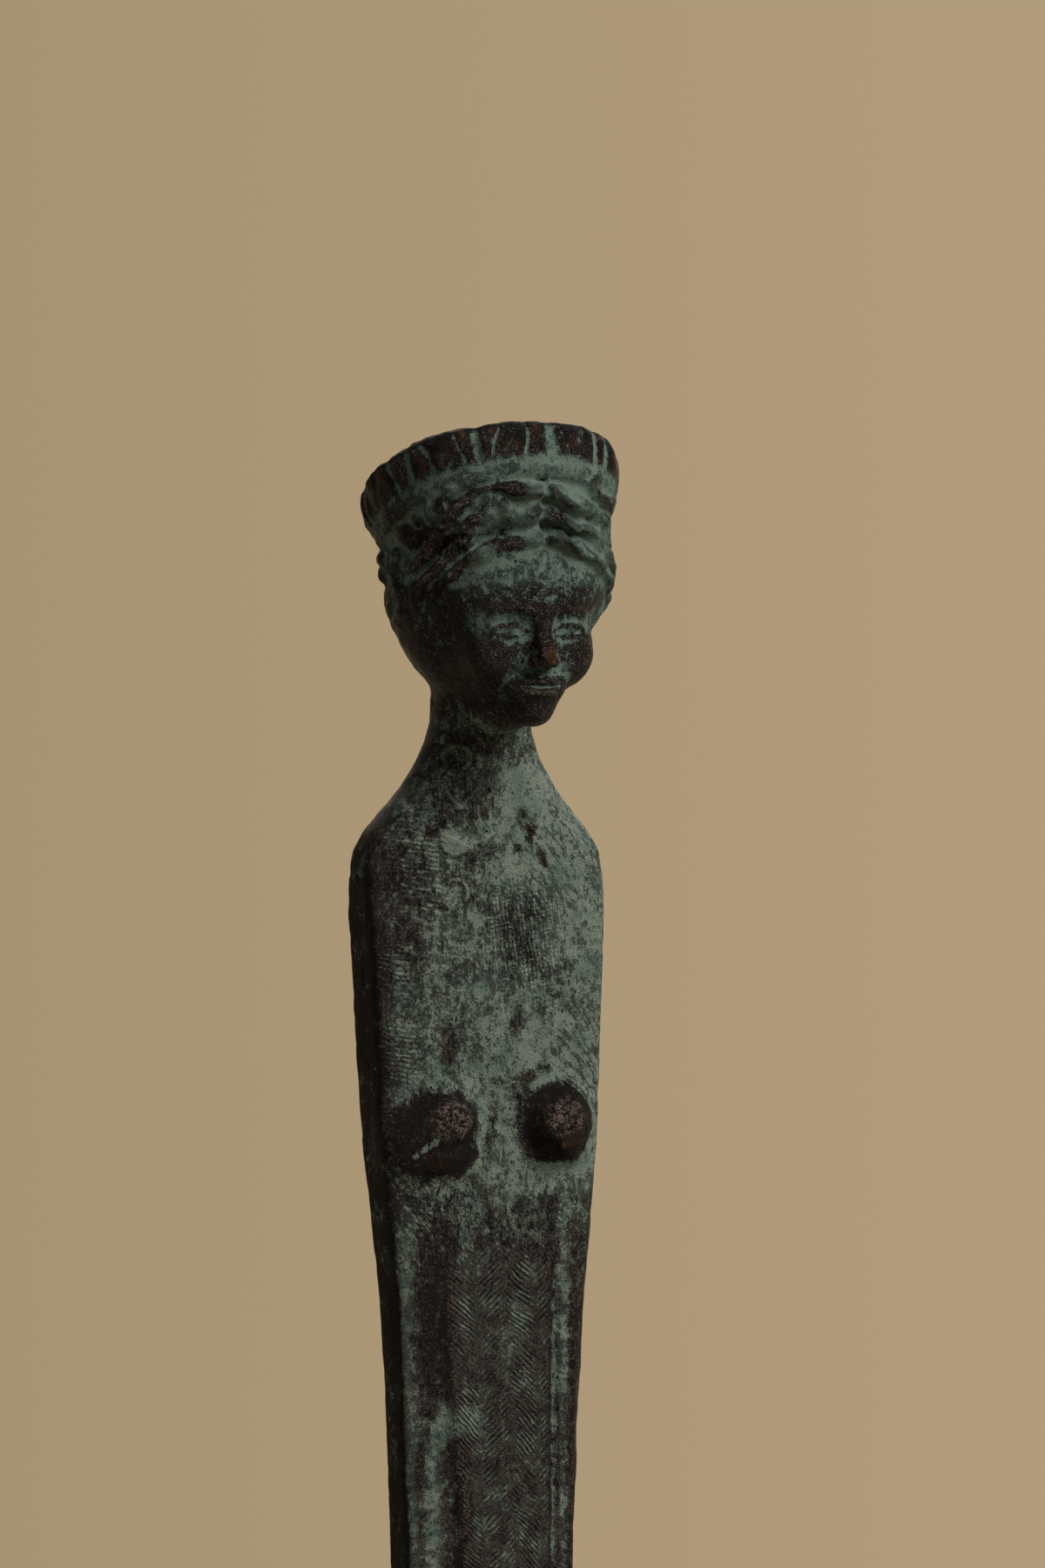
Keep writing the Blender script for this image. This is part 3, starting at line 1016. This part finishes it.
    # a thin brown-grey stain between bare metal and verdigris
    stain = g.step(g.sum(cover, (drawn, 0.5), (grain, -0.5), (patch, 0.4), -0.2), 0.02, 0.5)
    film = g.step(g.sum((fine, 1.0), (grain, 0.8), -0.4), 0.0, 1.0)
    film = g.mixc(film, (0.017, 0.0135, 0.012), (0.074, 0.066, 0.058))
    stain = g.math("MULTIPLY", g.math("MULTIPLY", stain, g.mixf(head, 0.85, 0.18)), g.math("MULTIPLY_ADD", sooty, -0.75, 1.0))
    metal = g.mixc(stain, metal, film)
    scuffs = g.step(g.sum((fine, 2.4), (grain, 0.8), (medium, 1.6), -2.2), 0.02, 0.76)
    metal = g.mixc(worn, metal, g.mixc(scuffs, (0.0033, 0.0023, 0.002), (0.26, 0.196, 0.17)))
    metal = g.mixc(glow, metal, g.mixc(g.step(fine, 0.35, 0.68), (0.009, 0.0045, 0.0025), (0.12, 0.05, 0.017)))
    g.put(bsdf.inputs["Base Color"], g.mixc(mask, metal, verdigris))
    bright = g.math("MULTIPLY", g.sum((specks, 0.55), (worn, 0.4), (glow, 0.3)), 1.0, clamp=True)
    g.put(bsdf.inputs["Metallic"], g.math("MULTIPLY", bright, g.math("SUBTRACT", 1.0, mask)))
    rough = g.sum((worn, 0.02), (fine, 0.34), (sooty, 0.3), 0.2)
    g.put(bsdf.inputs["Roughness"], g.mixf(mask, rough, 0.9))
    bsdf.inputs["Specular IOR Level"].default_value = 0.12

    sand = g.math("MULTIPLY", g.math("SUBTRACT", g.noise(P, 6.0, 2, 0.7, (2.0, 2.0, 8.0)), 0.5), worn)
    height = g.sum((sand, 2.6), (mask, 0.3), (fine, 1.7), (grain, 1.5), (medium, 0.9), (strokes, 1.0), (pit, -0.8))
    b = g.node("Bump")
    b.inputs["Strength"].default_value = 0.9
    b.inputs["Distance"].default_value = 0.0001
    g.put(b.inputs["Height"], height)
    g.put(bsdf.inputs["Normal"], b.outputs[0])
    return mat


figurine.data.materials.append(patinated_bronze())

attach(figurine, "root")
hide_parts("figurine")

# ------------------------------------------------------------------ camera
VIEW_AZ = math.radians(-25)
cam_dir = np.array([math.sin(VIEW_AZ), -math.cos(VIEW_AZ), 0.0])
cam_right = np.array([math.cos(VIEW_AZ), math.sin(VIEW_AZ), 0.0])
DIST = 0.55
PHOTO_H = 0.1017
target = np.array([0, 0, 0.1763]) + 0.00282 * cam_right
cam = bpy.data.cameras.new("camera")
cam.sensor_width = 36
cam.lens = 36 * DIST / PHOTO_H
cam.clip_start, cam.clip_end = 0.01, 20
cam_ob = bpy.data.objects.new("camera", cam)
bpy.context.collection.objects.link(cam_ob)
cam_ob.location = target + cam_dir * DIST
cam_ob.rotation_euler = (math.pi / 2, 0, VIEW_AZ)
bpy.context.scene.camera = cam_ob

# ------------------------------------------------------------------ floor: a pale round sheet that fades out
bm = bmesh.new()
bmesh.ops.create_circle(bm, cap_ends=True, segments=96, radius=0.5)
floor_mesh = bpy.data.meshes.new("floor")
bm.to_mesh(floor_mesh)
bm.free()
floor = bpy.data.objects.new("floor", floor_mesh)
bpy.context.collection.objects.link(floor)
floor.location = (0, 0, -0.00002)
pale = bpy.data.materials.new("pale_floor")
pale.use_nodes = True
g = Graph(pale.node_tree)
out, bsdf = g.node("OutputMaterial"), g.node("BsdfPrincipled")
g.put(out.inputs["Surface"], bsdf.outputs[0])
spread = g.vec("LENGTH", g.node("TexCoord").outputs["Object"])
g.put(bsdf.inputs["Alpha"], g.step(spread, 0.48, 0.26))
bsdf.inputs["Base Color"].default_value = (0.46, 0.40, 0.31, 1)
bsdf.inputs["Roughness"].default_value = 0.9
bsdf.inputs["Specular IOR Level"].default_value = 0.1
floor_mesh.materials.append(pale)

# ------------------------------------------------------------------ plain beige surround and one soft key light
world = bpy.data.worlds.new("studio")
bpy.context.scene.world = world
world.use_nodes = True
g = Graph(world.node_tree)
out, back_node = g.node("OutputWorld"), g.node("Background")
g.put(out.inputs["Surface"], back_node.outputs[0])
ray = g.node("TexCoord").outputs["Generated"]
across = g.vec("DOT_PRODUCT", ray, tuple(cam_right))
behind = g.vec("DOT_PRODUCT", ray, tuple(-cam_dir))
shown = g.mixc(g.math("MULTIPLY_ADD", across, 8.0, 0.5, clamp=True), (0.381, 0.292, 0.168), (0.440, 0.332, 0.205))
soft = g.mixc(g.step(behind, 0.45, 0.95), (0.068, 0.062, 0.0535), (0.40, 0.31, 0.185))
seen = g.node("LightPath").outputs["Is Camera Ray"]
g.put(back_node.inputs["Color"], g.mixc(seen, soft, shown))
bpy.context.scene.view_settings.view_transform = "Standard"

light = bpy.data.lights.new("key", "AREA")
light.energy = 5.1
light.size = 0.34
light.color = (1.0, 0.97, 0.93)
key = bpy.data.objects.new("key", light)
bpy.context.collection.objects.link(key)
key_az, key_el = math.radians(34), math.radians(40)
kd = np.array([math.sin(key_az) * math.cos(key_el), -math.cos(key_az) * math.cos(key_el), math.sin(key_el)])
key.location = np.array([0, 0, 0.14]) + kd * 0.62
key.rotation_euler = (math.pi / 2 - key_el, 0, key_az)

# weaker ones from behind and from the dark side, for the other views
for name, watts, az, el in (("fill", 2.1, 150, 35), ("side", 0.75, -112, 28)):
    light = bpy.data.lights.new(name, "AREA")
    light.energy = watts
    light.size = 0.4
    light.color = (1.0, 0.95, 0.88)
    ob = bpy.data.objects.new(name, light)
    bpy.context.collection.objects.link(ob)
    az, el = math.radians(az), math.radians(el)
    toward = np.array([math.sin(az) * math.cos(el), -math.cos(az) * math.cos(el), math.sin(el)])
    ob.location = np.array([0, 0, 0.12]) + toward * 0.7
    ob.rotation_euler = (math.pi / 2 - el, 0, az)
